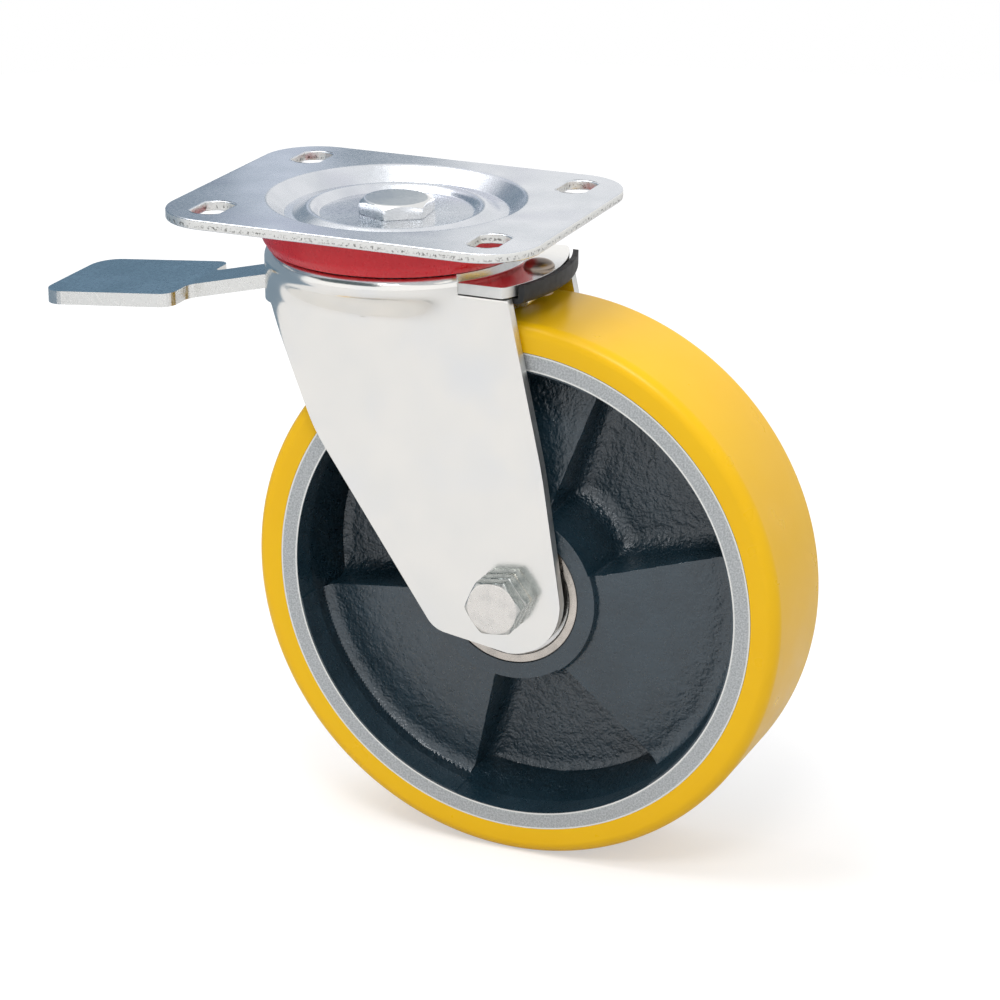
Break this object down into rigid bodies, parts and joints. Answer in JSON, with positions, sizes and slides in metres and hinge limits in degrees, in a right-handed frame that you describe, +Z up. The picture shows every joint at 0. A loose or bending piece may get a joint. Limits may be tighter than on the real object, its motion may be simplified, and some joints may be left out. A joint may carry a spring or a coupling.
{
  "type": "swivel castor",
  "caption": "Plate-mounted swivel castor with a pressed steel fork, a cast wheel with a polyurethane tyre on ball bearings and a foot brake.",
  "frame": {"origin": "centre of the top plate's upper face, on the swivel axis", "axes": "+Z up out of the plate, +Y towards the side that the wheel trails to, X along the wheel's axle with +X at the bolt head"},
  "size_m": [0.113, 0.2875, 0.233],
  "materials": {
    "zinc_plate": "bright zinc plating, satin, rough sheared edge",
    "zinc_fork": "bright zinc plating, smooth",
    "zinc_lever": "bright zinc plating, satin",
    "zinc_bolt": "zinc plated, machined",
    "red_seal": "satin moulded",
    "yellow_tyre": "cast polyurethane, glossy",
    "painted_iron": "semi-gloss black paint on cast iron",
    "bearing_steel": "ground steel",
    "bright_steel": "polished steel",
    "dark_steel": "plain turned steel",
    "nickel_rivet": "dull nickel",
    "black_steel": "matte black coating",
    "black_rubber": "matte rubber"
  },
  "bodies": {
    "plate": {"top_plate": "zinc_plate", "king_bolt": "zinc_bolt", "king_nut": "zinc_bolt", "lower_race": "dark_steel", "dust_seal": "red_seal"},
    "upper_ball_row": {"upper_balls": "bright_steel"},
    "lower_ball_row": {"lower_balls": "bright_steel"},
    "fork": {"fork": "zinc_fork", "axle_bolt": "zinc_bolt", "axle_lock_nut": "zinc_bolt", "axle_nut": "zinc_bolt", "nut_washer": "zinc_bolt", "axle_sleeve": "dark_steel", "bearing_spacer": "dark_steel", "side_washer_near": "bright_steel", "side_washer_far": "bright_steel", "inner_ring_near": "bright_steel", "inner_ring_far": "bright_steel", "brake_rivet": "nickel_rivet"},
    "wheel": {"tyre": "yellow_tyre", "wheel_centre": "painted_iron", "outer_ring_near": "bearing_steel", "outer_ring_far": "bearing_steel", "shield_near": "bright_steel", "shield_far": "bright_steel"},
    "wheel_balls": {"balls_near": "bright_steel", "balls_far": "bright_steel", "cage_near": "dark_steel", "cage_far": "dark_steel"},
    "brake": {"brake_lever": "zinc_lever", "brake_shoe": "black_steel", "brake_pad": "black_rubber", "shoe_rivets": "dark_steel"}
  },
  "joints": [
    {"name": "swivel", "type": "hinge", "parent": "plate", "child": "fork", "pos_m": [0, 0, 0], "axis": [0, 0, 1], "continuous": true},
    {"name": "upper_balls_roll", "type": "hinge", "parent": "plate", "child": "upper_ball_row", "pos_m": [0, 0, 0], "axis": [0, 0, 1], "continuous": true},
    {"name": "lower_balls_roll", "type": "hinge", "parent": "plate", "child": "lower_ball_row", "pos_m": [0, 0, 0], "axis": [0, 0, 1], "continuous": true},
    {"name": "wheel_spin", "type": "hinge", "parent": "fork", "child": "wheel", "pos_m": [0, 0.054, -0.133], "axis": [1, 0, 0], "continuous": true},
    {"name": "bearing_balls_roll", "type": "hinge", "parent": "fork", "child": "wheel_balls", "pos_m": [0, 0.054, -0.133], "axis": [1, 0, 0], "continuous": true},
    {"name": "brake_press", "type": "hinge", "parent": "fork", "child": "brake", "pos_m": [0, 0.056, -0.0273], "axis": [1, 0, 0], "range_deg": [0, 4]}
  ],
  "couplings": [
    {"joint": "upper_balls_roll", "follows": "swivel", "ratio": 0.5},
    {"joint": "lower_balls_roll", "follows": "swivel", "ratio": 0.5},
    {"joint": "bearing_balls_roll", "follows": "wheel_spin", "ratio": 0.6026}
  ]
}
